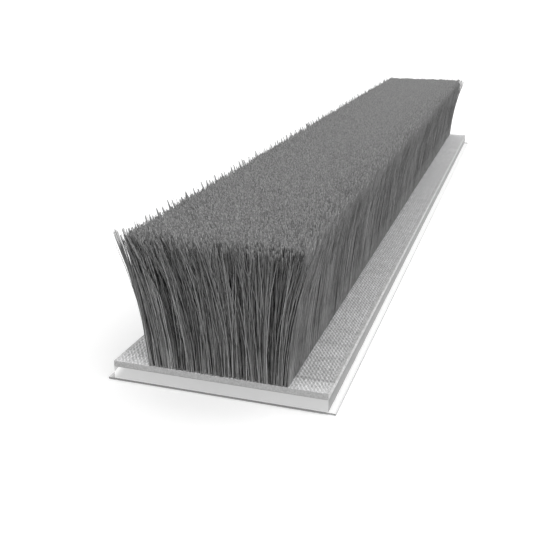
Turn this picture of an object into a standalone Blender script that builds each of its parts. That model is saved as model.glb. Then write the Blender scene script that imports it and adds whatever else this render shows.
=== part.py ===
"""A short cut length of self-adhesive brush seal strip: a dense block of grey pile tufts woven
into a flat backing, with a clear adhesive layer and a wider clear release liner under it.

The strip runs along Y and lies on its liner. The origin is the centre of the liner's underside.
"""

import random

import bmesh
import bpy
from mathutils import Vector

# Driving dimensions, in metres.
STRIP_LENGTH = 0.045

BACKING_WIDTH = 0.007
BACKING_THICKNESS = 0.0002
BACKING_EDGE_RADIUS = 0.00002

ADHESIVE_THICKNESS = 0.0004

LINER_THICKNESS = 0.00007
LINER_MARGIN = 0.00023  # how far the liner stands out past each long edge of the backing

PILE_WIDTH = 0.00457  # where the pile leaves the backing
PILE_HEIGHT = 0.0043  # from the backing's face to the highest tuft tip
PILE_LEFT_FLARE = 0.00057  # how far the long side at -X leans out at the tips
PILE_RIGHT_FLARE = 0.00038  # how far the long side at +X leans out at the tips
PILE_END_FLARE = 0.0003  # how far each cut end leans out at the tips
PILE_TIP_CORNER_RADIUS = 0.0006  # of the pile's outline at the tips
PILE_FOOT_CORNER_RADIUS = 0.00015  # of the pile's outline at the backing
PILE_CROWN = 0.00012  # how much lower the outermost tufts end

TUFT_PITCH = 0.00045  # along and across the strip
TUFT_TIP_RISE = 0.0003  # from the valleys between tufts to their tips
TUFT_TIP_VARIATION = 0.00012  # how much shorter some tufts are than others
TUFT_SWAY = 0.00007  # how far a tuft's tip wanders from its place in the weave
FOOT_GROOVE_DEPTH = 0.00003  # between tufts on the pile's sides, at the backing
TIP_GROOVE_DEPTH = 0.00013  # the same, at the tips

SEAT_GAP = 0.00001  # between layers that are bonded to each other

# How the shapes are divided.
PILE_LEVELS = 6
FLARE_POWER = 1.1  # over 1, the pile leans out more and more towards its tips
EDGE_SEGMENTS = 2
TUFT_SEED = 7
AROUND_TUFT = ((-1, -1), (0, -1), (1, -1), (1, 0), (1, 1), (0, 1), (-1, 1), (-1, 0))

# Heights of each layer's underside.
LINER_Z = 0.0
ADHESIVE_Z = LINER_Z + LINER_THICKNESS + SEAT_GAP
BACKING_Z = ADHESIVE_Z + ADHESIVE_THICKNESS + SEAT_GAP
PILE_Z = BACKING_Z + BACKING_THICKNESS + SEAT_GAP


def clear_scene():
    for obj in list(bpy.data.objects):
        bpy.data.objects.remove(obj)


def make_material(name, colour, roughness, alpha=1.0):
    material = bpy.data.materials.new(name)
    material.use_nodes = True
    shader = material.node_tree.nodes["Principled BSDF"]
    shader.inputs["Base Color"].default_value = (*colour, 1.0)
    shader.inputs["Roughness"].default_value = roughness
    shader.inputs["Metallic"].default_value = 0.0
    shader.inputs["Alpha"].default_value = alpha
    return material


def add_object(name, bm, material, z):
    """Makes bm an object named name, standing at height z."""
    bmesh.ops.recalc_face_normals(bm, faces=bm.faces)
    mesh = bpy.data.meshes.new(name)
    bm.to_mesh(mesh)
    bm.free()
    mesh.materials.append(material)
    obj = bpy.data.objects.new(name, mesh)
    obj.location = (0.0, 0.0, z)
    bpy.context.scene.collection.objects.link(obj)
    return obj


def flat_layer(width, thickness):
    """A flat layer of the strip, cut square at both ends, with its underside at z = 0."""
    bm = bmesh.new()
    bmesh.ops.create_cube(bm, size=1.0)
    bmesh.ops.scale(bm, vec=(width, STRIP_LENGTH, thickness), verts=bm.verts)
    bmesh.ops.translate(bm, vec=(0.0, 0.0, thickness / 2), verts=bm.verts)
    return bm


def ease_long_top_edges(obj, radius):
    """Rounds the two long upper edges with a Bevel that is weighted to them."""
    mesh = obj.data
    weights = mesh.attributes.new("bevel_weight_edge", "FLOAT", "EDGE")
    top = max(vertex.co.z for vertex in mesh.vertices)
    for edge in mesh.edges:
        a, b = (mesh.vertices[i].co for i in edge.vertices)
        is_long = abs(a.y - b.y) > STRIP_LENGTH / 2
        is_top = min(a.z, b.z) > top / 2
        weights.data[edge.index].value = float(is_long and is_top)
    bevel = obj.modifiers.new("eased_edges", "BEVEL")
    bevel.limit_method = "WEIGHT"
    bevel.width = radius
    bevel.segments = EDGE_SEGMENTS


def rounded(x, y, half_width, half_length, radius):
    """Moves a point of a rectangle to its place in the same rectangle with round corners."""
    past_x = abs(x) - (half_width - radius)
    past_y = abs(y) - (half_length - radius)
    if past_x <= 0 or past_y <= 0:
        return x, y
    share = max(past_x, past_y) / Vector((past_x, past_y)).length
    new_x = half_width - radius + past_x * share
    new_y = half_length - radius + past_y * share
    return (new_x if x > 0 else -new_x), (new_y if y > 0 else -new_y)


def pile_point(across, along, level, groove=0.0):
    """A point of the pile's outline or inside it. across and along run from -1 to 1, and level
    from 0 at the backing to 1 at the tips. groove draws the outline in by that much."""
    lean = level**FLARE_POWER
    middle = (PILE_RIGHT_FLARE - PILE_LEFT_FLARE) / 2 * lean
    half_width = PILE_WIDTH / 2 + (PILE_LEFT_FLARE + PILE_RIGHT_FLARE) / 2 * lean - groove
    half_length = STRIP_LENGTH / 2 + PILE_END_FLARE * lean - groove
    radius = PILE_FOOT_CORNER_RADIUS + (PILE_TIP_CORNER_RADIUS - PILE_FOOT_CORNER_RADIUS) * lean
    x, y = rounded(across * half_width, along * half_length, half_width, half_length, radius)
    return x + middle, y


def crowned_height(across, along, rows, columns):
    """The height that tufts reach at a place: the full height, or less near the pile's rim."""
    tufts_in = min((1 - abs(across)) * columns / 2, (1 - abs(along)) * rows / 2)
    return PILE_HEIGHT - PILE_CROWN * max(0.0, 1 - tufts_in)


def rim_steps(columns, rows):
    """The pile's rim in half-tuft steps, anticlockwise. Even steps lie between two tufts."""
    steps = [(i, 0) for i in range(2 * columns)]
    steps += [(2 * columns, j) for j in range(2 * rows)]
    steps += [(i, 2 * rows) for i in range(2 * columns, 0, -1)]
    steps += [(0, j) for j in range(2 * rows, 0, -1)]
    return steps


def tufted_pile():
    """The pile as one solid: fluted sides, a groove between each two tufts, and a point on each
    tuft. Each tuft is a cell of a grid, and the sides have its outline at several heights."""
    rng = random.Random(TUFT_SEED)
    columns = max(2, round(PILE_WIDTH / TUFT_PITCH))
    rows = max(2, round(STRIP_LENGTH / TUFT_PITCH))
    bm = bmesh.new()

    def place(i, j):
        return i / columns - 1, j / rows - 1

    # The fluted sides, from the foot to the rim.
    steps = rim_steps(columns, rows)
    sway = {step: rng.uniform(-TUFT_SWAY, TUFT_SWAY) for step in steps}
    loops = []
    for k in range(PILE_LEVELS + 1):
        level = k / PILE_LEVELS
        depth = FOOT_GROOVE_DEPTH + (TIP_GROOVE_DEPTH - FOOT_GROOVE_DEPTH) * level
        loop = []
        for i, j in steps:
            across, along = place(i, j)
            at_corner = abs(across) == 1 and abs(along) == 1
            between = (i + j) % 2 == 0 and not at_corner
            x, y = pile_point(across, along, level, depth if between else 0.0)
            if not between and not at_corner:
                if abs(along) == 1:
                    x += sway[i, j] * level
                else:
                    y += sway[i, j] * level
            drop = TUFT_TIP_RISE if between else TUFT_TIP_RISE / 2
            z = (crowned_height(across, along, rows, columns) - drop) * level
            loop.append(bm.verts.new((x, y, z)))
        loops.append(loop)
    for lower, upper in zip(loops, loops[1:]):
        for n in range(len(steps)):
            m = (n + 1) % len(steps)
            bm.faces.new((lower[n], lower[m], upper[m], upper[n]))
    bm.faces.new(reversed(loops[0]))

    # The valleys and tips of the top, joined to the rim.
    rim = dict(zip(steps, loops[-1]))
    valleys = dict(rim)
    for i in range(2, 2 * columns, 2):
        for j in range(2, 2 * rows, 2):
            across, along = place(i, j)
            x, y = pile_point(across, along, 1.0)
            z = crowned_height(across, along, rows, columns) - TUFT_TIP_RISE
            valleys[i, j] = bm.verts.new((x, y, z))
    for i in range(1, 2 * columns, 2):
        for j in range(1, 2 * rows, 2):
            across, along = place(i, j)
            x, y = pile_point(across, along, 1.0)
            x += rng.uniform(-TUFT_SWAY, TUFT_SWAY)
            y += rng.uniform(-TUFT_SWAY, TUFT_SWAY)
            z = crowned_height(across, along, rows, columns) - rng.uniform(0, TUFT_TIP_VARIATION)
            tip = bm.verts.new((x, y, z))
            around = [(i + di, j + dj) for di, dj in AROUND_TUFT]
            ring = [valleys[step] for step in around if step in valleys]
            for a, b in zip(ring, ring[1:] + ring[:1]):
                bm.faces.new((a, b, tip))
    return bm


def build():
    clear_scene()
    clear_film = make_material("clear_film", (0.86, 0.87, 0.88), 0.08, alpha=0.35)
    clear_adhesive = make_material("clear_adhesive", (0.62, 0.62, 0.63), 0.2, alpha=0.75)
    woven_fabric = make_material("woven_fabric", (0.5, 0.5, 0.51), 0.85)
    grey_pile = make_material("grey_pile", (0.2, 0.2, 0.2), 0.6)

    liner_width = BACKING_WIDTH + 2 * LINER_MARGIN
    add_object("release_liner", flat_layer(liner_width, LINER_THICKNESS), clear_film, LINER_Z)
    adhesive = flat_layer(BACKING_WIDTH, ADHESIVE_THICKNESS)
    add_object("adhesive_layer", adhesive, clear_adhesive, ADHESIVE_Z)
    backing = flat_layer(BACKING_WIDTH, BACKING_THICKNESS)
    backing = add_object("woven_backing", backing, woven_fabric, BACKING_Z)
    ease_long_top_edges(backing, BACKING_EDGE_RADIUS)
    add_object("pile", tufted_pile(), grey_pile, PILE_Z)


build()
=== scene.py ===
"""Looks of a short cut length of self-adhesive brush seal: grey pile fibres on a woven backing,
a clear adhesive layer and a clear release liner, on a white floor in soft light."""

import math

import bpy
import numpy as np
from mathutils import Matrix, Vector


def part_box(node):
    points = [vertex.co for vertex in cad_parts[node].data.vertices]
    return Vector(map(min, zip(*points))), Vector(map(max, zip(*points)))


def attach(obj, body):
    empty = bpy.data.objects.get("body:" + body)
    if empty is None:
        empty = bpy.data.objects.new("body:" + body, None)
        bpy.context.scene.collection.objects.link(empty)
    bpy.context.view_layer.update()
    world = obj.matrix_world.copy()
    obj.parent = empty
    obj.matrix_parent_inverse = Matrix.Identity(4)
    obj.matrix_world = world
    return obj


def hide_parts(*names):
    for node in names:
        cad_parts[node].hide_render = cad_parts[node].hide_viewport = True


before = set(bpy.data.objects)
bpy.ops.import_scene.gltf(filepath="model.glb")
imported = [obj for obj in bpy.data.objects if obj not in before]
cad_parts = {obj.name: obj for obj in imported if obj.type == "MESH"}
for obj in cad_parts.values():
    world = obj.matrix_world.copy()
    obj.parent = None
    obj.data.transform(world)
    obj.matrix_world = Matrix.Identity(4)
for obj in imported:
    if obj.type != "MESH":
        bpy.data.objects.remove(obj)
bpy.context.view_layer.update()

MM = 0.001

# Each random thing has a seed of its own.
PILE_SEED = 11
CLUMP_SEEDS = (12, 13)  # across and along the strip
NOTCH_SEED = 14
TUFT_SEED = 15
WEAVE_SEED = 16
RELIEF_SEED = 17
WEFT_SEED = 18
SLIT_SEED = 19
STRAY_SEED = 23

NOISE_LATTICE = 256  # cells before value noise repeats
NOISE_START = 1000.0  # the cell that the frame's origin falls in

# How far the pile leans out at the tips, as its solid does.
RIGHT_FLARE = 0.38 * MM
END_FLARE = 0.3 * MM

# The rest of the fibres' outline and of their rim, closer to the photo than the solid's.
FRONT_TIP_CORNER_RADIUS = 0.8 * MM
BACK_TIP_CORNER_RADIUS = 0.75 * MM
FOOT_CORNER_RADIUS = 0.05 * MM
FLARE_POWER = 1.2  # over 1, the sides lean out more and more towards the tips
INNER_FLARE_POWER = 1.6  # how much higher it is in the middle of the pile
FRONT_DROP = 0.18 * MM  # how much lower the outermost fibres of each side end
BACK_DROP = -0.07 * MM
LEFT_DROP = 0.0 * MM
RIGHT_DROP = 0.06 * MM
CROWN_REACH = 0.5 * MM  # how far in from the sides the crown starts to fall

# Pile fibres.
FIBRE_RADIUS_SPREAD = 0.12  # as a share of the radius
STRAND_SIDES = 3
WAVE_TURNS = (1.5, 3.5)  # in a fibre's length, at least and most
ROW_SPACING = 0.9  # between rows of fibres, as a share of the spacing in a row
STAGGER = 0.25  # how far each second row is moved aside, and the others the other way
JITTER = 0.35  # how far each fibre is moved from its place in the row
SIDE_SPACING = 0.034 * MM  # between the fibres of the pile's long sides, at the backing
END_SPACING = 0.0345 * MM  # the same at its cut ends
FIELD_SPACING = 0.0385 * MM  # between the fibres inside the rim
SIDE_DEPTH = 0.11 * MM  # how far in from the long sides the fibres are made at full length
END_DEPTH = 0.6 * MM  # the same from the cut ends
STUB_LENGTH = 1.0 * MM  # of the fibres inside the rim, of which only the tips show
END_STUB_LENGTH = 0.3 * MM  # of the tips that stand among the fibres of the cut ends
END_STUB_INSET = (0.06 * MM, 0.42 * MM)  # from the cut ends to the first of them
END_NOTCH_SIZE = 0.11 * MM  # over which that changes
END_NOTCH_SPAN = (0.2, 0.8)  # the noise, from 0 to 1, at the least and the most of that
TOP_BANDS = 4  # pieces that the fibres inside the rim are shared between
CLUMP_SIZE = 0.34 * MM  # over which neighbours lean the same way
RIM_CLUMP = 0.05 * MM  # how far neighbours at the long sides lean together
RIM_CLUMP_REACH = 0.25 * MM  # how far in from them that fades
PAINTED_LIGHT_FOOT_SHARE = 0.25  # of a fibre's length, over which its grey turns from the foot's to the tip's; a paler foot is painted light
TIP_TAPER = 0.4  # how thick a fibre's tip is, to the rest of it
END_SHARE = 0.5  # of the fibres are left at the cut ends, apart from the right side
END_THIN_REACH = 0.8 * MM  # how far in from the ends fibres are missing

LOOSE_REACH = 0.6 * MM  # how far in from the rim the fibres are looser than in the middle
RIGHT_SPLAY = 0.16 * MM  # how far the tips at the right rim bend outwards
SPLAY_VARIATION = (0.5, 1.1)  # at least and most, as a share of that
SPLAY_REACH = 0.4 * MM  # how far in from the right side they do
SPLAY_POWER = 4  # the higher, the nearer their tips they bend
FRONT_SPLAY = 0.3 * MM  # how far the fibres at the front end of the right side lean outwards
FRONT_SPLAY_REACH = (0.6 * MM, 1.2 * MM)  # how far in from the right side and the front they do
OVERHANG = 0.07 * MM  # how far a leaning fibre may reach past the pile's outline
LEFT_LEAN_VARIATION = (0.25, 1.75)  # at least and most, as a share of a fibre's usual lean
LEAN_REACH = 0.7  # of half the pile's width, over which the lean to the left fades at the right
SLIT_DEPTH = 0.25 * MM  # of the gaps between tufts at the right rim, dark with painted shade
SLIT_SHADE = 0.45  # how dark painted shade makes their fibres' tips, to the rest
SLIT_ONSET = 0.25  # the noise above which there is a gap
SLIT_EDGE = 0.3  # the noise from there to the gap's full depth
SLIT_SIZE = (0.5 * MM, 0.22 * MM)  # across and along the strip
SLIT_REACH = 0.3 * MM  # how far in from the right side they are

# The habits of each region's fibres. Of a pair of lengths, the first is across the strip.
# lean: how far the tips stray. clump: how far neighbours lean together.
# crossing_share, crossing: the share that leans across its neighbours, and how far.
# left_lean: how far fibres lean to the left, and how much further those do that lean across.
# lean_power: over 1, a fibre leans more and more towards its tip.
# bow, wave: how far a fibre is bent and waved aside.
# unevenness, rim_unevenness: how unevenly they are cut, and how much more so at the rim.
# tall_share, tall: the share that stands out above the rest, and how far.
# contrast: how much the greys of fibres differ, at the front and at the back.
# depth_shade: how much painted shade darkens fibres below their tips, further in from the cut
# ends.
# across, along: how pale they are at the left and right, and at the front and back. At the cut
# ends the darker right is painted shade; on the top the paler back is a painted sheen.
# greys: at their feet and at their tips, where paler feet are painted light. rings: how many
# points the line of each has.
END_HABIT = {
    "radius": 0.0112 * MM,
    "lean": (0.11 * MM, 0.1 * MM),
    "clump": 0.05 * MM,
    "crossing_share": 0.55,
    "crossing": (0.36 * MM, 0.18 * MM),
    "left_lean": (0.22 * MM, 0.2 * MM),
    "lean_power": 1.9,
    "bow": 0.035 * MM,
    "wave": 0.012 * MM,
    "unevenness": 0.03 * MM,
    "rim_unevenness": 0.12 * MM,
    "tall_share": 0.06,
    "tall": 0.2 * MM,
    "contrast": (0.97, 0.5),
    "depth_shade": 0.4,
    # painted shade: darker towards the right of the cut ends
    "across": (1.03, 0.87),
    "along": (1.0, 1.0),
    "greys": (0.41, 0.252),
    "rings": 5,
}
SIDE_HABIT = {
    "radius": 0.0115 * MM,
    "lean": (0.03 * MM, 0.045 * MM),
    "clump": 0.02 * MM,
    "crossing_share": 0.1,
    "crossing": (0.05 * MM, 0.2 * MM),
    "left_lean": (0.0, 0.0),
    "lean_power": 2.5,
    "bow": 0.012 * MM,
    "wave": 0.0,
    "unevenness": 0.03 * MM,
    "rim_unevenness": 0.18 * MM,
    "tall_share": 0.05,
    "tall": 0.32 * MM,
    "contrast": (0.14, 0.12),
    "depth_shade": 0.0,
    "across": (1.0, 1.0),
    "along": (0.965, 0.89),
    "greys": (0.6, 0.245),
    "rings": 4,
}
FIELD_HABIT = {
    "radius": 0.0147 * MM,
    "lean": (0.08 * MM, 0.08 * MM),
    "clump": 0.02 * MM,
    "crossing_share": 0.0,
    "crossing": (0.0, 0.0),
    "left_lean": (0.0, 0.0),
    "lean_power": 1.9,
    "bow": 0.0,
    "wave": 0.0,
    "unevenness": 0.03 * MM,
    "rim_unevenness": 0.09 * MM,
    "tall_share": 0.0,
    "tall": 0.0,
    "contrast": (0.47, 0.2),
    "depth_shade": 0.0,
    "across": (1.0, 1.0),
    # painted sheen: paler towards the back
    "along": (0.85, 0.97),
    "greys": (0.325, 0.325),
    "rings": 2,
}

# Hairs that stand out from two of the pile's corners, in bundles that end in a point.
STRAY_CORNERS = ((-1, -1), (1, 1))  # the side and the end that each is at
STRAY_REACH = (0.55 * MM, 0.62 * MM)  # at each of those corners
STRAY_RADIUS = (0.0095 * MM, 0.01 * MM)  # the same
STRAY_BUNDLES = 20  # at each corner
BUNDLE_HAIRS = 5
STRAY_POWER = 2.0  # the higher, the nearer its tip a hair starts to stand out
STRAY_SPREAD = (0.07, 0.014)  # of their feet across and along, as a share of half the pile
STRAY_TIP_SPREAD = (0.05, 0.012)  # the same, of the points that bundles end in
STRAY_FAN_POWER = 1.3  # over 1, more bundles stand close to the pile than far from it
STRAY_FORWARDS = 0.6  # how far they stand out past the end at most, to how far past the side
STRAY_DROP = (-0.14 * MM, 0.12 * MM)  # how much shorter than the pile bundles are
STRAY_UNEVENNESS = 0.4  # how uneven a bundle's hairs are, as a share of the most of that
STRAY_REACH_VARIATION = (0.9, 1.0)
STRAY_TONES = (0.7, 1.3)
LONE_SHARE = 0.04  # of the hairs stand out on their own, further than the rest and thinner
LONE_REACH = 1.15
LONE_RADIUS = 0.6

# Tufts that stand above the left rim, their fibres drawn together to a point.
RIM_TUFTS = 140
TUFT_FIBRES = 6
TUFT_FIBRE_RADIUS = 0.0145 * MM
TUFT_WIDTH = 0.13 * MM
TUFT_RISE = (0.0, 0.22 * MM)  # at least and most above the pile
TUFT_UNEVENNESS = 0.05 * MM  # between the tips of a tuft's fibres
TUFT_ROW_END = 0.99  # how far the row of tufts runs, as a share of half the pile's length
TUFT_INSET = 0.04  # how far in from the side they stand at most, as a share of half its width
TUFT_OVERHANG = 0.1 * MM  # how far past the side their points may lean
TUFT_BACKWARD_LEAN = 0.3  # how far they may lean the other way, as a share of that
TUFT_LEVELS = (0.0, 0.5, 0.9, 1.0)
TUFT_SPREAD = (1.0, 1.0, 0.85, 0.12)  # how wide a tuft is at each level, as a share of its width
TUFT_TONES = (1.0, 1.5)

# A dark body inside the pile, painted shade that the fibres stand in front of.
CORE_SIDE_INSET = 0.15 * MM
CORE_END_INSET = 0.6 * MM
CORE_TOP_DEPTH = 0.35 * MM
CORE_LEVELS = 6
CORE_OUTLINE_STEP = 0.5 * MM

# The woven backing.
CORD_PITCH = 0.114 * MM  # of the cords that run along the strip
RIB_PITCH = (0.128 * MM, 0.196 * MM)  # of the slanting ribs, across and along the strip
WEAVE_STEP = (CORD_PITCH / 3, RIB_PITCH[1] / 3)  # between the points of its surface
WEAVE_RELIEF = 0.014 * MM
WEAVE_STRAY = 0.1 * MM  # how far its threads wander
RELIEF_SHARES = (0.3, 0.2)  # of the ribs and of the cords in its relief
RELIEF_DENT = 0.2  # how far each point may lie lower, as a share of the relief
RELIEF_VARIATION = 0.3  # how much stronger or weaker the pattern is from patch to patch
RIM_HEIGHT = 0.3  # of the surface's edge, as a share of the relief
RELIEF_PATCH = 0.3 * MM  # over which the relief, and the tone of the wefts, changes
SELVEDGE = 0.13 * MM  # how wide the smooth band along each long edge is
CUT_FACE_WOBBLE = 0.006 * MM
SAME_PLACE = 1e-7  # a point this close to the backing's edge lies on it
CUT_FACE_ROWS = 4
LONG_EDGE_TONE = 1.1  # of the faces down the long edges
WEFT_TONE_SPREAD = (0.02, 0.04)  # from one weft to the next, and from patch to patch
DARK_WEFTS = ((0.8 * MM, 0.7), (3.4 * MM, 0.88))  # on the right: how far from the front, how dark
PALE_END = 0.75 * MM  # how far from each cut end the weave is paler
PALE_END_GAIN = 0.16
LEFT_MARGIN_PAINTED_LIGHT = 1.24  # painted light: how much paler the left margin is
# How pale the weave is along the strip, from 0 at the front to 1 at the back.
WEAVE_TONES = ((0.0, 0.92), (0.07, 0.85), (0.3, 0.81), (0.65, 0.87), (1.0, 1.06))

# The adhesive's front face, which a glowing streak of painted light crosses at its left end.
STREAK_TOP = 0.16 * MM  # how far in from the left side it starts, at the upper edge
STREAK_SLOPE = 0.82  # how far it runs to the left for each step down
STREAK_WIDTH = 0.33 * MM
STREAK_PAINTED_GLOW = 0.55

# The materials' noises: how many waves each has to a metre.
FIBRE_DAPPLE = 24000.0
FIBRE_STREAK = 9000.0
CORE_STREAK = 6000.0
WEAVE_MOTTLE = 6000.0
WEAVE_FUZZ = 21000.0
THREAD_WANDER = 5000.0
ADHESIVE_HAZE = 2200.0
LINER_SMEAR = 700.0
NOISE_SPAN = (0.3, 0.7)  # between which most of a noise's values lie

# The materials' greys, and tones that a grey is multiplied by.
DAPPLE_TONES = (0.8, 1.2)
CORE_SHADE_GREYS = ((0.02, 0.06), (0.18, 0.25))  # painted shade, at the cut ends and at the long sides
RIB_WEIGHT = 0.65  # how strongly the weave's ribs show, next to its cords
CORD_WEIGHT = 0.45
STRAND_WEIGHT = 0.25  # of the two strands in each rib
FRONT_CALM = 0.45  # how much of the weave's pattern is left at the front end
THREAD_SPAN = (-0.8, 0.8)  # the weave's pattern from its darkest to its palest
LOW_THREAD_GREY = 0.39
HIGH_THREAD_COLOUR = (0.79, 0.79, 0.8, 1.0)
SELVEDGE_GREY = 0.56
CUT_GREYS = (0.4, 0.53)  # of the backing's cut faces
MOTTLE_TONES = (0.87, 1.13)
FUZZ_TONES = (0.73, 1.23)
HAZE_GREYS = (0.74, 0.79)
HAZE_DEPTH_SHADE_TONES = (0.96, 1.04)  # painted shade: at the adhesive's upper edge, under the backing, and at its lower edge
HAZE_ACROSS_TONES = (1.02, 0.985)  # at its left and right
LIP_HIGHLIGHT_DEPTHS = (0.9, 0.95)  # of its thickness, between which a painted highlight along its foot turns it pale
# how much paler the painted highlight at its foot makes it
LIP_HIGHLIGHT_TONE = 1.12
SIDE_FACE_SHADE_GREYS = (0.25, 0.39)  # painted shade of its long sides, at the upper and lower edge
ADHESIVE_ALPHA = 0.94  # apart from its long sides, which are opaque
LINER_FACE_GREY = 0.95
# Its left margin, beside the strip, is greyed with a painted shadow.
LINER_LEFT_SHADOW_GREY = 0.68
LINER_EDGE_GREY = 0.27
LINER_EDGE_ALPHA = (0.2, 0.95)  # at its underside, and from its middle up
LINER_FACE_ALPHA = (0.02, 0.6)  # of its clear faces and of its left margin, which carries a painted shadow
LINER_PAINTED_GLOW = 0.5  # painted light: a glow on its clear faces

# The floor. Where it is seen it also glows, which makes it white.
FLOOR_SIZE = 3.0
FLOOR_DEPTH = 0.006 * MM  # below the strip's underside
FLOOR_GREY = 0.8  # for the light that it throws back
FLOOR_SEEN_GREY = 0.95  # where it is seen: the higher, the stronger its shadows
FLOOR_GLOW = 0.158

# Light.
WORLD_STRENGTH = 0.82  # on what it lights, while the camera sees it plain white
KEY_STRENGTH = 1.15
KEY_SPREAD = 80.0  # degrees
KEY_AZIMUTH = 79.0  # degrees from straight behind the strip towards its right side
KEY_HEIGHT = 62.0

# The camera, as fitted to the strip's corners in the photo.
CAMERA_LENS = 52.5
CAMERA_PLACE = (8.15 * MM, -42.03 * MM, 11.72 * MM)
CAMERA_TURN = 18.515  # degrees to the left of straight along the strip
CAMERA_TILT = 19.553  # degrees down
CAMERA_ROLL = -0.161


def smoothstep(x):
    x = np.clip(x, 0.0, 1.0)
    return x * x * (3 - 2 * x)


def value_noise(x, y, cell, seed):
    """Smooth noise between -1 and 1 that changes over about the length of a cell."""
    lattice = np.random.default_rng(seed).uniform(-1, 1, (NOISE_LATTICE, NOISE_LATTICE))
    u = x / cell + NOISE_START
    v = y / cell + NOISE_START
    i = np.floor(u).astype(int)
    j = np.floor(v).astype(int)
    s = smoothstep(u - i)
    t = smoothstep(v - j)

    def at(a, b):
        return lattice[a % NOISE_LATTICE, b % NOISE_LATTICE]

    low = at(i, j) * (1 - s) + at(i + 1, j) * s
    high = at(i, j + 1) * (1 - s) + at(i + 1, j + 1) * s
    return low * (1 - t) + high * t


def unit(v):
    return v / np.linalg.norm(v, axis=-1, keepdims=True)


def add_piece(name, points, corners, sizes, smooth, material, attributes=None):
    """A mesh object from numpy arrays: its points, the corner indices of its faces one after
    another, how many corners each face has, and which faces are smooth."""
    mesh = bpy.data.meshes.new(name)
    mesh.vertices.add(len(points))
    mesh.vertices.foreach_set("co", points.astype(np.float32).ravel())
    mesh.loops.add(len(corners))
    mesh.loops.foreach_set("vertex_index", corners.astype(np.int32))
    mesh.polygons.add(len(sizes))
    starts = np.concatenate(([0], np.cumsum(sizes)[:-1]))
    mesh.polygons.foreach_set("loop_start", starts.astype(np.int32))
    mesh.polygons.foreach_set("use_smooth", smooth.astype(bool))
    for key, values in (attributes or {}).items():
        layer = mesh.attributes.new(key, "FLOAT", "POINT")
        layer.data.foreach_set("value", values.astype(np.float32))
    mesh.update(calc_edges=True)
    mesh.validate()
    mesh.materials.append(material)
    piece = bpy.data.objects.new(name, mesh)
    bpy.context.scene.collection.objects.link(piece)
    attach(piece, "root")
    return piece


class Nodes:
    """A short way to write a material's node tree."""

    def __init__(self, name):
        self.material = bpy.data.materials.new(name)
        self.material.use_nodes = True
        self.tree = self.material.node_tree
        self.shader = self.tree.nodes["Principled BSDF"]
        self.coords = self.add("ShaderNodeTexCoord").outputs["Object"]

    def add(self, kind, inputs=None, **settings):
        node = self.tree.nodes.new(kind)
        for key, value in settings.items():
            setattr(node, key, value)
        for key, value in (inputs or {}).items():
            self.feed(node.inputs[key], value)
        return node

    def feed(self, socket, value):
        if isinstance(value, bpy.types.NodeSocket):
            self.tree.links.new(value, socket)
        else:
            socket.default_value = value

    def principled(self, **inputs):
        for key, value in inputs.items():
            self.feed(self.shader.inputs[key.replace("_", " ").title()], value)

    def attribute(self, name):
        return self.add("ShaderNodeAttribute", attribute_name=name).outputs["Fac"]

    def noise(self, scale, detail=2.0, stretch=(1, 1, 1)):
        inputs = {"Vector": self.coords, "Scale": stretch}
        mapped = self.add("ShaderNodeMapping", inputs).outputs["Vector"]
        inputs = {"Vector": mapped, "Scale": scale, "Detail": detail}
        return self.add("ShaderNodeTexNoise", inputs).outputs["Fac"]

    def math(self, operation, a, b=0.0):
        return self.add("ShaderNodeMath", {0: a, 1: b}, operation=operation).outputs[0]

    def plus(self, a, b):
        return self.math("ADD", a, b)

    def minus(self, a, b):
        return self.math("SUBTRACT", a, b)

    def times(self, a, b):
        return self.math("MULTIPLY", a, b)

    def between(self, value, low, high, out_low=0.0, out_high=1.0):
        inputs = {
            "Value": value,
            "From Min": low,
            "From Max": high,
            "To Min": out_low,
            "To Max": out_high,
        }
        return self.add("ShaderNodeMapRange", inputs).outputs["Result"]

    def varied(self, noise, low=0.0, high=1.0):
        """A value that a noise moves between low and high."""
        return self.between(noise, *NOISE_SPAN, low, high)

    def blend(self, share, a, b):
        """Colour a where share is 0 and colour b where it is 1."""
        node = self.add("ShaderNodeMix", {0: share, 6: a, 7: b}, data_type="RGBA")
        return node.outputs[2]

    def scaled(self, colour, factor):
        node = self.add("ShaderNodeVectorMath", {0: colour}, operation="SCALE")
        self.feed(node.inputs["Scale"], factor)
        return node.outputs["Vector"]

    def bump(self, height, distance, strength=1.0):
        inputs = {"Height": height, "Distance": distance, "Strength": strength}
        return self.add("ShaderNodeBump", inputs).outputs["Normal"]

    def axis(self, vector, name):
        return self.add("ShaderNodeSeparateXYZ", {"Vector": vector}).outputs[name]

    def coordinate(self, name):
        return self.axis(self.coords, name)

    def facing(self, name):
        """How squarely the surface faces along an axis, either way."""
        normal = self.add("ShaderNodeNewGeometry").outputs["True Normal"]
        return self.math("ABSOLUTE", self.axis(normal, name))

    def is_facing(self, name):
        """1 where the surface faces more or less along an axis, and 0 elsewhere."""
        return self.math("GREATER_THAN", self.facing(name), 0.5)


def grey(value, alpha=1.0):
    return (value, value, value, alpha)


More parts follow.
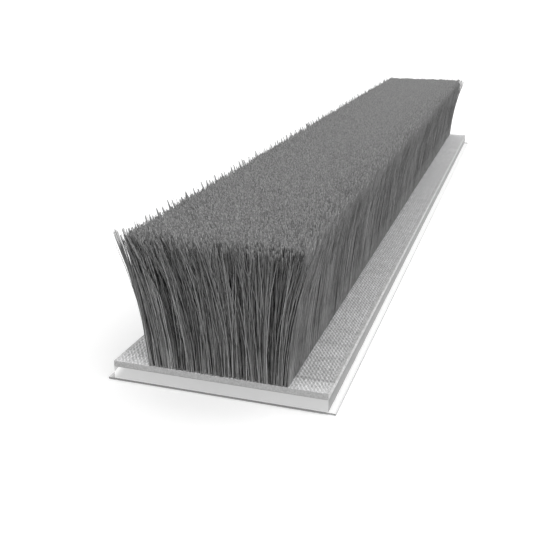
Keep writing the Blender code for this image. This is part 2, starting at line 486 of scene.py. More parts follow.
def fibre_material(name, shape, habit):
    """Drawn synthetic fibre: every fibre its own grey, which changes towards the foot, where a
    paler foot is painted light. Its tone also carries painted shade.
    """
    m = Nodes(name)
    foot_end = shape.foot_z + PAINTED_LIGHT_FOOT_SHARE * shape.height
    foot_grey, tip_grey = [grey(value) for value in habit["greys"]]
    # Painted light: where the foot's grey is paler than the tip's, the feet look lit.
    colour = m.blend(m.between(m.coordinate("Z"), shape.foot_z, foot_end), foot_grey, tip_grey)
    dapple = m.noise(FIBRE_DAPPLE, detail=1.0, stretch=(1, 1, 0.22))
    tone = m.times(m.attribute("tone"), m.varied(dapple, *DAPPLE_TONES))
    streak = m.noise(FIBRE_STREAK, stretch=(1, 1, 0.15))
    m.principled(
        base_color=m.scaled(colour, tone),
        roughness=m.varied(streak, 0.42, 0.6),
        normal=m.bump(streak, distance=0.002 * MM, strength=0.5),
    )
    m.shader.inputs["Specular IOR Level"].default_value = 0.35
    return m.material


def core_shade_material():
    """Painted shade that shows between the fibres: dark at the cut ends, paler behind the dense
    long sides.
    """
    m = Nodes("pile_inside_painted_shade")
    streak = m.noise(CORE_STREAK, stretch=(1, 1, 0.1))
    at_end, at_side = [m.blend(streak, grey(low), grey(high)) for low, high in CORE_SHADE_GREYS]
    m.principled(base_color=m.blend(m.is_facing("Y"), at_side, at_end), roughness=0.9)
    return m.material


def weave_material():
    """Cords along the strip, crossed by slanting ribs that show less at the front end."""
    m = Nodes("woven_fabric")
    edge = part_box("woven_backing")[1]
    mottle = m.noise(WEAVE_MOTTLE, detail=3.0, stretch=(1, 0.4, 1))
    fuzz = m.noise(WEAVE_FUZZ, detail=1.0)
    stray = m.times(m.minus(m.noise(THREAD_WANDER), 0.5), WEAVE_STRAY)
    x = m.plus(m.coordinate("X"), stray)
    turns = m.times(x, 2 * math.pi / RIB_PITCH[0])
    turns = m.plus(turns, m.times(m.coordinate("Y"), 2 * math.pi / RIB_PITCH[1]))
    rib = m.math("COSINE", turns)
    cord = m.math("COSINE", m.times(x, 2 * math.pi / CORD_PITCH))
    strands = m.math("COSINE", m.times(turns, 2.0))
    thread = m.plus(m.times(rib, RIB_WEIGHT), m.times(cord, CORD_WEIGHT))
    thread = m.plus(thread, m.times(strands, STRAND_WEIGHT))
    thread = m.times(thread, m.facing("Z"))
    towards_front = m.times(m.coordinate("Y"), -1.0)
    calm = m.between(towards_front, edge.y - PALE_END, edge.y, 1.0, FRONT_CALM)
    thread = m.times(thread, calm)
    shade = m.blend(m.between(thread, *THREAD_SPAN), grey(LOW_THREAD_GREY), HIGH_THREAD_COLOUR)
    in_selvedge = m.between(m.math("ABSOLUTE", x), edge.x - SELVEDGE, edge.x - SELVEDGE / 2)
    shade = m.blend(in_selvedge, shade, grey(SELVEDGE_GREY))
    factor = m.times(m.varied(mottle, *MOTTLE_TONES), m.attribute("tone"))
    factor = m.times(factor, m.varied(fuzz, *FUZZ_TONES))
    cut = m.blend(m.varied(fuzz), grey(CUT_GREYS[0]), grey(CUT_GREYS[1]))
    m.principled(
        base_color=m.blend(m.is_facing("Y"), m.scaled(shade, factor), cut),
        roughness=0.85,
        normal=m.bump(fuzz, distance=0.006 * MM, strength=0.5),
    )
    m.shader.inputs["Sheen Weight"].default_value = 0.15
    m.shader.inputs["Specular IOR Level"].default_value = 0.25
    return m.material


def adhesive_material():
    """Clear soft adhesive: hazy inside, with a glowing streak of painted light at the left end of
    its cut face, a painted highlight at its foot and painted shade under the backing. Its long
    sides are painted dark, as shade."""
    m = Nodes("clear_adhesive")
    low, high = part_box("adhesive_layer")
    haze = m.noise(ADHESIVE_HAZE, detail=3.0)
    on_side = m.is_facing("X")
    hazed = m.blend(haze, grey(HAZE_GREYS[0]), grey(HAZE_GREYS[1]))
    depth = m.between(m.coordinate("Z"), high.z, low.z)
    # Painted shade: darker towards the upper edge, under the backing.
    hazed = m.scaled(hazed, m.between(depth, 0.0, 1.0, *HAZE_DEPTH_SHADE_TONES))
    hazed = m.scaled(hazed, m.between(m.coordinate("X"), low.x, high.x, *HAZE_ACROSS_TONES))
    # A painted highlight along the lower edge.
    hazed = m.scaled(hazed, m.between(depth, *LIP_HIGHLIGHT_DEPTHS, 1.0, LIP_HIGHLIGHT_TONE))
    # A glowing streak of painted light across the left end of the cut face.
    fall = m.times(m.minus(high.z, m.coordinate("Z")), STREAK_SLOPE)
    start = m.minus(low.x + STREAK_TOP, fall)
    past = m.minus(m.coordinate("X"), start)
    streak = m.between(past, 0.0, STREAK_WIDTH, 1.0, 0.0)
    streak = m.times(streak, streak)
    streak = m.times(streak, m.math("GREATER_THAN", past, 0.0))
    streak = m.times(streak, m.facing("Y"))
    # Painted shade on the long sides, darkest under the backing.
    side = m.blend(depth, grey(SIDE_FACE_SHADE_GREYS[0]), grey(SIDE_FACE_SHADE_GREYS[1]))
    m.principled(
        base_color=m.blend(on_side, hazed, side),
        roughness=m.varied(haze, 0.4, 0.5),
        alpha=m.between(on_side, 0.0, 1.0, ADHESIVE_ALPHA, 1.0),
        normal=m.bump(haze, distance=0.002 * MM, strength=0.2),
        emission_color=grey(1.0),
        emission_strength=m.times(streak, STREAK_PAINTED_GLOW),
    )
    return m.material


def liner_material():
    """Clear film: hardly seen on its faces, which glow with painted light, and grey along its cut
    edges. Its left margin is greyed with a painted shadow."""
    m = Nodes("clear_film")
    is_face = m.is_facing("Z")
    on_left = m.math("LESS_THAN", m.coordinate("X"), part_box("adhesive_layer")[0].x)
    smear = m.noise(LINER_SMEAR, detail=3.0)
    # A painted shadow greys the left margin.
    face = m.blend(on_left, grey(LINER_FACE_GREY), grey(LINER_LEFT_SHADOW_GREY))
    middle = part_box("release_liner")[1].z / 2
    edge_alpha = m.between(m.coordinate("Z"), 0.0, middle, *LINER_EDGE_ALPHA)
    edge_alpha = m.minus(edge_alpha, m.times(on_left, m.facing("X")))
    face_alpha = m.between(on_left, 0.0, 1.0, *LINER_FACE_ALPHA)
    # Painted light: a glow that whitens the clear faces.
    glow = m.between(m.minus(is_face, on_left), 0.0, 1.0, 0.0, LINER_PAINTED_GLOW)
    m.principled(
        base_color=m.blend(is_face, grey(LINER_EDGE_GREY), face),
        alpha=m.between(is_face, 0.0, 1.0, edge_alpha, face_alpha),
        roughness=m.varied(smear, 0.06, 0.16),
        normal=m.bump(smear, distance=0.002 * MM, strength=0.3),
        emission_color=grey(1.0),
        emission_strength=glow,
    )
    return m.material


def rounded(x, y, half_x, half_y, radius):
    """Points of a rectangle moved to their places in the same rectangle with round corners."""
    past_x = np.abs(x) - (half_x - radius)
    past_y = np.abs(y) - (half_y - radius)
    in_corner = (past_x > 0) & (past_y > 0)
    reach = np.hypot(past_x, past_y)
    share = np.where(in_corner, np.maximum(past_x, past_y) / np.maximum(reach, 1e-12), 1.0)
    new_x = np.where(in_corner, np.sign(x) * (half_x - radius + past_x * share), x)
    new_y = np.where(in_corner, np.sign(y) * (half_y - radius + past_y * share), y)
    return new_x, new_y


class PileShape:
    """Where the pile's fibres stand, read from its solid's box."""

    def __init__(self):
        low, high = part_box("pile")
        self.foot_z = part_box("woven_backing")[1].z
        self.height = high.z - self.foot_z
        self.half_x = high.x - RIGHT_FLARE
        self.half_y = high.y - END_FLARE
        self.left_flare = -low.x - self.half_x

    def place(self, across, along, level, side_inset=0.0, end_inset=0.0):
        """The place at a level from 0 at the backing to 1 at the tips. across and along run from
        -1 to 1."""
        lean = level**FLARE_POWER
        side_lean = level ** (FLARE_POWER + INNER_FLARE_POWER * (1 - np.abs(across)))
        half_x = self.half_x + (self.left_flare + RIGHT_FLARE) / 2 * side_lean - side_inset
        middle = (RIGHT_FLARE - self.left_flare) / 2 * side_lean
        half_y = self.half_y + END_FLARE * lean - end_inset
        tip_radius = np.where(along < 0, FRONT_TIP_CORNER_RADIUS, BACK_TIP_CORNER_RADIUS)
        radius = FOOT_CORNER_RADIUS + (tip_radius - FOOT_CORNER_RADIUS) * lean
        x, y = rounded(across * half_x, along * half_y, half_x, half_y, radius)
        return x + middle, y

    def from_side(self, x):
        """How far in from the nearest long side a foot stands."""
        return self.half_x - np.abs(x)

    def from_end(self, y):
        """How far in from the nearest cut end a foot stands."""
        return self.half_y - np.abs(y)

    def at_side(self, x, y):
        """Which feet at x, y are in the outer layer of a long side."""
        return (self.from_side(x) < SIDE_DEPTH) & (self.from_side(x) < self.from_end(y))

    def crown(self, x, y):
        """How far below the full height the fibre that stands at x, y is cut."""
        sides = (
            (self.half_y + y, FRONT_DROP),
            (self.half_y - y, BACK_DROP),
            (self.half_x + x, LEFT_DROP),
            (self.half_x - x, RIGHT_DROP),
        )
        return sum(drop * np.clip(1 - inside / CROWN_REACH, 0, 1) ** 2 for inside, drop in sides)


def scatter(half_x, half_y, spacing, rng):
    """Points over a rectangle in staggered rows, each moved a little from its place."""
    columns = int(2 * half_x / spacing)
    rows = int(2 * half_y / (spacing * ROW_SPACING))
    i, j = np.meshgrid(np.arange(columns), np.arange(rows), indexing="ij")
    x = (i + 0.5 + STAGGER * np.where(j % 2, 1, -1)) / columns * 2 - 1
    y = (j + 0.5) / rows * 2 - 1
    x = x.ravel() * half_x + rng.uniform(-JITTER, JITTER, i.size) * spacing
    y = y.ravel() * half_y + rng.uniform(-JITTER, JITTER, i.size) * spacing
    return np.clip(x, -half_x, half_x), np.clip(y, -half_y, half_y)


def fibre_leans(shape, x, y, habit, rng):
    """How far the tips of fibres that stand at x, y stray: an array for each axis."""
    count = len(x)
    crossing = rng.random(count) < habit["crossing_share"]
    left_lean = -smoothstep((1 - x / shape.half_x) / LEAN_REACH)
    lean = []
    for axis, foot, half in ((0, x, shape.half_x), (1, y, shape.half_y)):
        own = rng.normal(0, habit["lean"][axis], count)
        across = crossing * rng.normal(0, habit["crossing"][axis], count)
        if axis == 0:
            own += habit["left_lean"][0] * left_lean * rng.uniform(*LEFT_LEAN_VARIATION, count)
            across += habit["left_lean"][1] * left_lean * crossing
        clump = habit["clump"] + RIM_CLUMP * np.exp(-shape.from_side(x) / RIM_CLUMP_REACH)
        clump = clump * value_noise(x, y, CLUMP_SIZE, CLUMP_SEEDS[axis])
        outward = np.sign(foot) * (own + across + clump)
        room = half - np.abs(foot) + OVERHANG * rng.random(count)
        lean.append(np.sign(foot) * np.minimum(outward, room))
    reach_x, reach_y = FRONT_SPLAY_REACH
    from_right = shape.half_x - x
    from_front = shape.half_y + y
    lean[0] += FRONT_SPLAY * np.exp(-from_right / reach_x - from_front / reach_y)
    return lean


def fibre_heights(shape, x, y, habit, rng):
    """How high above the backing fibres that stand at x, y end."""
    count = len(x)
    from_edge = np.minimum(shape.from_side(x), shape.from_end(y))
    looseness = np.exp(-from_edge / LOOSE_REACH)
    unevenness = habit["unevenness"] + habit["rim_unevenness"] * looseness
    height = shape.height - shape.crown(x, y) - unevenness * np.abs(rng.normal(0, 1, count))
    height -= SLIT_DEPTH * slits(shape, x, y)
    is_tall = (rng.random(count) < habit["tall_share"]) & (shape.half_y - y > LOOSE_REACH)
    return np.where(is_tall, shape.height + habit["tall"] * rng.random(count), height)


def fibre_paths(shape, x, y, start_level, habit, rng):
    """Centre lines of fibres that stand at x, y: an array of fibres by rings by 3."""
    count = len(x)
    lean = fibre_leans(shape, x, y, habit, rng)
    splay = RIGHT_SPLAY * np.exp(-(shape.half_x - x) / SPLAY_REACH)
    splay = splay * rng.uniform(*SPLAY_VARIATION, count)
    bow = rng.normal(0, habit["bow"], (2, count))
    wave = rng.normal(0, habit["wave"], (2, count))
    turns = rng.uniform(*WAVE_TURNS, count)
    height = fibre_heights(shape, x, y, habit, rng)
    path = np.empty((count, habit["rings"], 3))
    for k, level in enumerate(np.linspace(start_level, 1.0, habit["rings"])):
        path[:, k, :2] = np.stack(shape.place(x / shape.half_x, y / shape.half_y, level), axis=-1)
        for axis in range(2):
            path[:, k, axis] += lean[axis] * level ** habit["lean_power"]
            path[:, k, axis] += bow[axis] * math.sin(math.pi * level)
            path[:, k, axis] += wave[axis] * np.sin(2 * math.pi * turns * level)
        path[:, k, 0] += splay * level**SPLAY_POWER
        path[:, k, 2] = shape.foot_z + height * level
    return path


def slits(shape, x, y):
    """Where the gaps between tufts at the right rim are: 1 in them and 0 elsewhere."""
    depth = value_noise(x / SLIT_SIZE[0], y / SLIT_SIZE[1], 1.0, SLIT_SEED)
    return smoothstep((depth - SLIT_ONSET) / SLIT_EDGE) * np.exp(-(shape.half_x - x) / SLIT_REACH)


def fibre_tones(shape, x, y, habit, rng):
    """How pale the fibres that stand at x, y are at each ring, as a share of their habit's grey.
    Below their tips they get darker with painted shade further in from the cut ends, and the tips
    in the right rim's gaps get painted shade too."""
    contrast = np.interp(y / shape.half_y, (-1, 1), habit["contrast"])
    own = 1 + contrast * rng.uniform(-1, 1, len(x))
    across = np.interp(x / shape.half_x, (-1, 1), habit["across"])
    along = np.interp(y / shape.half_y, (-1, 1), habit["along"])
    tone = np.repeat((own * across * along)[:, None], habit["rings"], axis=1)
    # Painted shade below the tips, deeper further in from the cut ends.
    depth = np.clip(shape.from_end(y) / END_DEPTH, 0, 1)
    tone[:, :-1] *= 1 - habit["depth_shade"] * depth[:, None]
    # Painted shade on the tips in the right rim's gaps.
    tone[:, -1] *= 1 - (1 - SLIT_SHADE) * slits(shape, x, y)
    return tone


def spokes(direction, rng):
    """Unit vectors square to each direction, one for each side of a strand."""
    right = unit(np.cross((0.0, 1.0, 0.0), direction))
    ahead = np.cross(direction, right)
    start = rng.uniform(0, 2 * math.pi, len(direction))[:, None]
    turn = start + np.arange(STRAND_SIDES) * 2 * math.pi / STRAND_SIDES
    turn = turn[:, None, :, None]
    return np.cos(turn) * right[:, :, None, :] + np.sin(turn) * ahead[:, :, None, :]


def add_strands(name, path, radius, tone, material, rng):
    """Fibres as closed strands along their centre lines."""
    count, rings, _ = path.shape
    sides = STRAND_SIDES
    spoke = spokes(unit(np.gradient(path, axis=1)), rng)
    thickness = radius[:, None] * np.append(np.ones(rings - 1), TIP_TAPER)
    points = path[:, :, None, :] + thickness[:, :, None, None] * spoke

    def corner(ring, side):
        return (np.arange(count) * rings + ring) * sides + side % sides

    quads = [
        (corner(k, s), corner(k, s + 1), corner(k + 1, s + 1), corner(k + 1, s))
        for k in range(rings - 1)
        for s in range(sides)
    ]
    quads = np.stack([np.stack(quad, axis=-1) for quad in quads], axis=1).reshape(-1, 4)
    tips = np.stack([corner(rings - 1, s) for s in range(sides)], axis=-1)
    feet = np.stack([corner(0, -s) for s in range(sides)], axis=-1)
    caps = np.concatenate((tips, feet))
    corners = np.concatenate((quads.ravel(), caps.ravel()))
    sizes = np.concatenate((np.full(len(quads), 4), np.full(len(caps), sides)))
    tones = np.repeat(tone, sides, axis=1).ravel()
    piece = add_piece(
        name, points.reshape(-1, 3), corners, sizes, sizes == 4, material, {"tone": tones}
    )
    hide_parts("pile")


def add_stubs(name, path, radius, tone, material, rng):
    """The upper ends of fibres: cut flat at the tip, and drawn to a point further down, where
    their neighbours hide them."""
    count = len(path)
    sides = STRAND_SIDES
    direction = unit(path[:, 1:] - path[:, :1])
    tip = path[:, 1:] + radius[:, None, None] * spokes(direction, rng)[:, 0]
    points = np.concatenate((tip, path[:, :1]), axis=1)
    first = np.arange(count) * (sides + 1)
    flanks = [
        np.stack((first + s, first + sides, first + (s + 1) % sides), axis=-1)
        for s in range(sides)
    ]
    caps = np.stack([first + s for s in range(sides)], axis=-1)
    faces = np.concatenate((*flanks, caps))
    sizes = np.full(len(faces), sides)
    smooth = np.arange(len(faces)) < sides * count
    tones = np.repeat(tone[:, -1], sides + 1)
    piece = add_piece(
        name, points.reshape(-1, 3), faces.ravel(), sizes, smooth, material, {"tone": tones}
    )
    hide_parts("pile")


def add_fibres(name, shape, x, y, habit, material, rng, add=add_strands, start_level=0.0):
    """A piece of fibres that stand at x, y."""
    path = fibre_paths(shape, x, y, start_level, habit, rng)
    radius = habit["radius"] * (1 + rng.normal(0, FIBRE_RADIUS_SPREAD, len(x)))
    add(name, path, radius, fibre_tones(shape, x, y, habit, rng), material, rng)


def add_rim_fibres(shape, end_material, side_material, rng):
    """The fibres in the rim at full length, one piece for each side."""
    x, y = scatter(shape.half_x, shape.half_y, END_SPACING, rng)
    share = END_SHARE + (1 - END_SHARE) * smoothstep(shape.from_end(y) / END_THIN_REACH)
    share += (1 - share) * np.exp(-(shape.half_x - x) / SPLAY_REACH)
    kept = rng.random(len(x)) < share
    kept = kept & (shape.from_end(y) < END_DEPTH) & ~shape.at_side(x, y)
    for name, end in (("front", -1), ("back", 1)):
        here = kept & (end * y > 0)
        name = f"pile_{name}_fibres"
        add_fibres(name, shape, x[here], y[here], END_HABIT, end_material, rng)
    x, y = scatter(shape.half_x, shape.half_y, SIDE_SPACING, rng)
    for name, side in (("left", -1), ("right", 1)):
        here = shape.at_side(x, y) & (side * x > 0)
        name = f"pile_{name}_fibres"
        add_fibres(name, shape, x[here], y[here], SIDE_HABIT, side_material, rng)


def add_inner_fibres(shape, material, rng):
    """The tips of the fibres inside the rim: short ones at the ends, the rest in bands along the
    strip."""
    x, y = scatter(shape.half_x, shape.half_y, FIELD_SPACING, rng)
    notch = value_noise(x, np.sign(y), END_NOTCH_SIZE, NOTCH_SEED) / 2 + 0.5
    first = np.interp(notch, END_NOTCH_SPAN, END_STUB_INSET)
    inside = ~shape.at_side(x, y) & (shape.from_end(y) > first)
    x, y = x[inside], y[inside]
    at_end = shape.from_end(y) < END_DEPTH
    band = ((y / shape.half_y + 1) / 2 * TOP_BANDS).astype(int)
    pieces = [("pile_end_tips", at_end, END_STUB_LENGTH)]
    pieces += [
        (f"pile_top_fibres_{k + 1}", ~at_end & (band == k), STUB_LENGTH) for k in range(TOP_BANDS)
    ]
    for name, here, length in pieces:
        level = 1 - length / shape.height
        add_fibres(name, shape, x[here], y[here], FIELD_HABIT, material, rng, add_stubs, level)


def add_pile():
    shape = PileShape()
    rng = np.random.default_rng(PILE_SEED)
    end_material = fibre_material("pile_end_fibre", shape, END_HABIT)
    side_material = fibre_material("pile_side_fibre", shape, SIDE_HABIT)
    top_material = fibre_material("pile_top_fibre", shape, FIELD_HABIT)
    add_rim_fibres(shape, end_material, side_material, rng)
    add_inner_fibres(shape, top_material, rng)
    add_strays(shape, end_material, np.random.default_rng(STRAY_SEED))
    add_rim_tufts(shape, side_material, np.random.default_rng(TUFT_SEED))
    add_shade_core(shape)


def add_strays(shape, material, rng):
    """Hairs that stand out from two of the pile's corners, in bundles that end in a point."""
    paths = []
    radii = []
    for (side, end), full_reach, full_radius in zip(STRAY_CORNERS, STRAY_REACH, STRAY_RADIUS):
        for bundle in range(STRAY_BUNDLES):
            count = BUNDLE_HAIRS
            tip_across, tip_along = 1 - rng.uniform(0.0, STRAY_TIP_SPREAD)
            foot_across = 1 - rng.uniform(0.0, STRAY_SPREAD[0], count)
            foot_along = 1 - rng.uniform(0.0, STRAY_SPREAD[1], count)
            is_lone = rng.random(count) < LONE_SHARE
            reach = full_reach * ((bundle + rng.random()) / STRAY_BUNDLES) ** STRAY_FAN_POWER
            reach = np.where(is_lone, full_reach * LONE_REACH, reach)
            reach = reach * rng.uniform(*STRAY_REACH_VARIATION, count)
            forwards = rng.uniform(0.0, STRAY_FORWARDS)
            drop = rng.uniform(*STRAY_DROP) + STRAY_UNEVENNESS * STRAY_DROP[1] * rng.random(count)
            path = np.empty((count, END_HABIT["rings"], 3))
            for k, level in enumerate(np.linspace(0.0, 1.0, END_HABIT["rings"])):
                across = foot_across + (tip_across - foot_across) * level
                along = foot_along + (tip_along - foot_along) * level
                x, y = shape.place(side * across, end * along, level)
                path[:, k, 0] = x + side * reach * level**STRAY_POWER
                path[:, k, 1] = y + end * forwards * reach * level**STRAY_POWER
                path[:, k, 2] = shape.foot_z + (shape.height - drop) * level
            paths.append(path)
            radii.append(full_radius * np.where(is_lone, LONE_RADIUS, 1.0))
    path = np.concatenate(paths)
    radius = np.concatenate(radii)
    tone = np.repeat(rng.uniform(*STRAY_TONES, (len(path), 1)), END_HABIT["rings"], axis=1)
    add_strands("pile_corner_hairs", path, radius, tone, material, rng)


def add_rim_tufts(shape, material, rng):
    """Small tufts that stand above the left rim, each drawn together to a point."""
    count = RIM_TUFTS * TUFT_FIBRES

    def shared(low, high):
        return np.repeat(rng.uniform(low, high, RIM_TUFTS), TUFT_FIBRES)

    tip_along = (np.arange(RIM_TUFTS) + rng.random(RIM_TUFTS)) / RIM_TUFTS * 2 - 1
    tip_along = TUFT_ROW_END * np.repeat(tip_along, TUFT_FIBRES)
    tip_across = shared(-1.0, TUFT_INSET - 1.0)
    overhang = shared(-TUFT_BACKWARD_LEAN * TUFT_OVERHANG, TUFT_OVERHANG)
    rise = shared(*TUFT_RISE) - TUFT_UNEVENNESS * rng.random(count)
    foot_along = tip_along + rng.uniform(-0.5, 0.5, count) * TUFT_WIDTH / shape.half_y
    foot_along = np.clip(foot_along, -1, 1)
    foot_across = tip_across + rng.uniform(0.0, 1.0, count) * TUFT_WIDTH / shape.half_x
    path = np.empty((count, len(TUFT_LEVELS), 3))
    for k, (level, spread) in enumerate(zip(TUFT_LEVELS, TUFT_SPREAD)):
        across = tip_across + (foot_across - tip_across) * spread
        along = tip_along + (foot_along - tip_along) * spread
        x, y = shape.place(across, along, level)
        path[:, k, 0] = x - overhang * level**STRAY_POWER
        path[:, k, 1] = y
        path[:, k, 2] = shape.foot_z + (shape.height + rise) * level
    radius = np.full(count, TUFT_FIBRE_RADIUS)
    tone = np.repeat(rng.uniform(*TUFT_TONES, (count, 1)), len(TUFT_LEVELS), axis=1)
    add_strands("pile_rim_tufts", path, radius, tone, material, rng)


def add_shade_core(shape):
    """The dark body behind the fibres, a painted shade, lofted from the pile's outline at several
    levels.
    """
    steps_x = int(2 * shape.half_x / CORE_OUTLINE_STEP)
    steps_y = int(2 * shape.half_y / CORE_OUTLINE_STEP)
    a = np.linspace(-1, 1, steps_x, endpoint=False)
    b = np.linspace(-1, 1, steps_y, endpoint=False)
    across = np.concatenate((a, np.ones(steps_y), -a, -np.ones(steps_y)))
    along = np.concatenate((-np.ones(steps_x), b, np.ones(steps_x), -b))
    count = len(across)
    rows = []
    for level in np.linspace(0, 1 - CORE_TOP_DEPTH / shape.height, CORE_LEVELS):
        x, y = shape.place(across, along, level, CORE_SIDE_INSET, CORE_END_INSET)
        z = np.full(count, shape.foot_z + shape.height * level)
        rows.append(np.stack((x, y, z), axis=-1))
    n = np.arange(count)
    m = (n + 1) % count
    quads = [
        np.stack((k * count + n, k * count + m, (k + 1) * count + m, (k + 1) * count + n), axis=-1)
        for k in range(CORE_LEVELS - 1)
    ]
    quads = np.concatenate(quads)
    corners = np.concatenate((quads.ravel(), n[::-1], (CORE_LEVELS - 1) * count + n))
    sizes = np.concatenate((np.full(len(quads), 4), (count, count)))
    smooth = np.zeros(len(sizes))
    points = np.concatenate(rows)
    core = add_piece("pile_inside_painted_shade", points, corners, sizes, smooth, core_shade_material())
    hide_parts("pile")


def margin_grid(low, high):
    """The places across and along the backing that its surface has points at: close together on
    its bare margins, and none between them, where the pile hides it."""
    step_x, step_y = WEAVE_STEP
    pile_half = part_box("pile")[1].x - RIGHT_FLARE
    first = math.floor(pile_half / step_x) - 1
    margin = np.arange(first, math.ceil(high.x / step_x)) * step_x
    margin = np.append(margin, high.x)
    along = np.arange(1, math.ceil(high.y / step_y)) * step_y
    xs = np.concatenate((-margin[::-1], margin))
    ys = np.concatenate(([low.y], -along[::-1], [0.0], along, [high.y]))
    return xs, ys


def weave_heights(x, y, high, rng):
    """How high the weave's surface is at x, y: slanting ribs over cords, uneven from patch to
    patch, and level at the backing's edges."""
    rib = np.cos(2 * math.pi * (x / RIB_PITCH[0] + y / RIB_PITCH[1]))
    cord = np.cos(2 * math.pi * x / CORD_PITCH)
    patch = 1 + RELIEF_VARIATION * value_noise(x, y, RELIEF_PATCH, RELIEF_SEED)
    height = 0.5 + (RELIEF_SHARES[0] * rib + RELIEF_SHARES[1] * cord) * patch
    height -= rng.uniform(0, RELIEF_DENT, x.shape)
    step_x, step_y = WEAVE_STEP
    at_rim = (np.abs(x) > high.x - step_x / 2) | (np.abs(y) > high.y - step_y / 2)
    height = np.where(at_rim, RIM_HEIGHT, height)
    return high.z - WEAVE_RELIEF * (1 - np.clip(height, 0, 1))


def weave_tones(x, ys, low, high, rng):
    """How pale the weave is at each of its points: each weft has its own tone, and a few on the
    right are dark. The left margin is paler with painted light."""
    tone = np.interp((ys - low.y) / (high.y - low.y), *zip(*WEAVE_TONES))
    tone *= 1 + WEFT_TONE_SPREAD[0] * rng.standard_normal(len(ys))
    tone *= 1 + WEFT_TONE_SPREAD[1] * value_noise(ys, 0 * ys, RELIEF_PATCH, WEFT_SEED)
    dark_weft = np.ones(len(ys))
    for from_front, darkness in DARK_WEFTS:
        is_dark = np.abs(ys - low.y - from_front) < WEAVE_STEP[1]
        dark_weft = np.where(is_dark, darkness * dark_weft, dark_weft)
    # The pale ends fade from half to one and a half times PALE_END.
    fade = smoothstep((high.y - np.abs(ys)) / PALE_END - 0.5)
    tone = tone * (1 + PALE_END_GAIN * (1 - fade))
    # Painted light on the left margin.
    return tone * np.where(x < 0, LEFT_MARGIN_PAINTED_LIGHT, dark_weft)


def cut_face_rows(outline, low, high, rng):
    """Rows of points from the surface's outline down to the backing's underside, pushed in and
    out as cut threads are."""
    on_side = np.abs(np.abs(outline[:, 0]) - high.x) < SAME_PLACE
    on_end = np.abs(np.abs(outline[:, 1]) - high.y) < SAME_PLACE
    rows = []
    for k in range(1, CUT_FACE_ROWS + 1):
        share = k / CUT_FACE_ROWS
        row = outline.copy()
        row[:, 2] = outline[:, 2] * (1 - share) + low.z * share
        if k < CUT_FACE_ROWS:
            push = rng.normal(0, CUT_FACE_WOBBLE, len(outline))
            row[:, 1] += np.where(on_end, np.sign(row[:, 1]) * push, 0)
            row[:, 0] += np.where(on_side & ~on_end, np.sign(row[:, 0]) * push, 0)
        rows.append(row)
    return rows


def add_backing():
    """The woven backing, closed by its cut faces and a flat underside."""
    low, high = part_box("woven_backing")
    rng = np.random.default_rng(WEAVE_SEED)
    xs, ys = margin_grid(low, high)
    x, y = np.meshgrid(xs, ys, indexing="ij")
    z = weave_heights(x, y, high, rng)
    tone = weave_tones(x, ys, low, high, rng)
    surface = np.stack((x, y, z), axis=-1).reshape(-1, 3)
    index = np.arange(x.size).reshape(x.shape)
    top = np.stack((index[:-1, :-1], index[1:, :-1], index[1:, 1:], index[:-1, 1:]), axis=-1)
    top = top.reshape(-1, 4)
    rim = np.concatenate((index[:-1, 0], index[-1, :-1], index[:0:-1, -1], index[0, :0:-1]))
    rows = cut_face_rows(surface[rim], low, high, rng)
    walls = []
    above = rim
    for k in range(CUT_FACE_ROWS):
        below = len(surface) + k * len(rim) + np.arange(len(rim))
        walls.append(np.stack((below, np.roll(below, -1), np.roll(above, -1), above), axis=-1))
        above = below
    quads = np.concatenate([top, *walls])
    corners = np.concatenate((quads.ravel(), above[::-1]))
    sizes = np.concatenate((np.full(len(quads), 4), (len(rim),)))
    smooth = np.arange(len(sizes)) < len(top)
    points = np.concatenate([surface, *rows])
    cut_tones = np.full(CUT_FACE_ROWS * len(rim), LONG_EDGE_TONE)
    tones = {"tone": np.concatenate((tone.ravel(), cut_tones))}
    piece = add_piece(
        "backing_weave", points, corners, sizes, smooth, weave_material(), tones
    )
    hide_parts("woven_backing")


def dress(node, material):
    """Gives a solid whose shape is right its finish."""
    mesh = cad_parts[node].data
    mesh.materials.clear()
    mesh.materials.append(material)


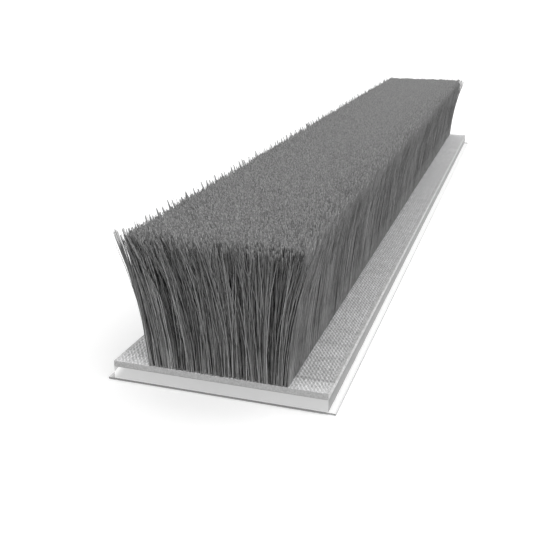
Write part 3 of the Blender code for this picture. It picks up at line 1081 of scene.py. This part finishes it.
def add_floor():
    mesh = bpy.data.meshes.new("floor")
    half = FLOOR_SIZE / 2
    corners = [(-half, -half, 0), (half, -half, 0), (half, half, 0), (-half, half, 0)]
    mesh.from_pydata(corners, [], [(0, 1, 2, 3)])
    floor = bpy.data.objects.new("floor", mesh)
    floor.location.z = -FLOOR_DEPTH
    bpy.context.scene.collection.objects.link(floor)
    m = Nodes("floor_white")
    path = m.add("ShaderNodeLightPath")
    seen = m.math("MAXIMUM", path.outputs["Is Camera Ray"], path.outputs["Is Glossy Ray"])
    seen = m.math("MAXIMUM", seen, path.outputs["Is Transmission Ray"])
    m.principled(
        base_color=m.blend(seen, grey(FLOOR_GREY), grey(FLOOR_SEEN_GREY)),
        roughness=1.0,
        emission_color=grey(1.0),
        emission_strength=m.times(seen, FLOOR_GLOW),
    )
    m.shader.inputs["Specular IOR Level"].default_value = 0.0
    mesh.materials.append(m.material)


def add_light():
    world = bpy.data.worlds.new("studio")
    bpy.context.scene.world = world
    world.use_nodes = True
    tree = world.node_tree
    background = tree.nodes["Background"]
    path = tree.nodes.new("ShaderNodeLightPath")
    strength = tree.nodes.new("ShaderNodeMapRange")
    strength.inputs["To Min"].default_value = WORLD_STRENGTH
    strength.inputs["To Max"].default_value = 1.0
    tree.links.new(path.outputs["Is Camera Ray"], strength.inputs["Value"])
    tree.links.new(strength.outputs["Result"], background.inputs["Strength"])
    background.inputs["Color"].default_value = grey(1.0)

    lamp = bpy.data.lights.new("key", "SUN")
    lamp.energy = KEY_STRENGTH
    lamp.angle = math.radians(KEY_SPREAD)
    key = bpy.data.objects.new("key", lamp)
    azimuth = math.radians(KEY_AZIMUTH)
    height = math.radians(KEY_HEIGHT)
    level = math.cos(height)
    towards = Vector((math.sin(azimuth) * level, math.cos(azimuth) * level, math.sin(height)))
    key.rotation_mode = "QUATERNION"
    key.rotation_quaternion = towards.to_track_quat("Z", "Y")
    bpy.context.scene.collection.objects.link(key)


def add_camera():
    data = bpy.data.cameras.new("camera")
    data.lens = CAMERA_LENS
    data.sensor_width = 36.0
    data.clip_start = 1 * MM
    data.clip_end = 10.0
    camera = bpy.data.objects.new("camera", data)
    turn = Matrix.Rotation(math.radians(CAMERA_TURN), 4, "Z")
    tilt = Matrix.Rotation(math.radians(90 - CAMERA_TILT), 4, "X")
    roll = Matrix.Rotation(math.radians(CAMERA_ROLL), 4, "Z")
    camera.matrix_world = Matrix.Translation(CAMERA_PLACE) @ turn @ tilt @ roll
    bpy.context.scene.collection.objects.link(camera)
    bpy.context.scene.camera = camera


add_camera()
add_light()
add_floor()
add_pile()
add_backing()
dress("adhesive_layer", adhesive_material())
dress("release_liner", liner_material())
bpy.context.scene.view_settings.view_transform = "Standard"
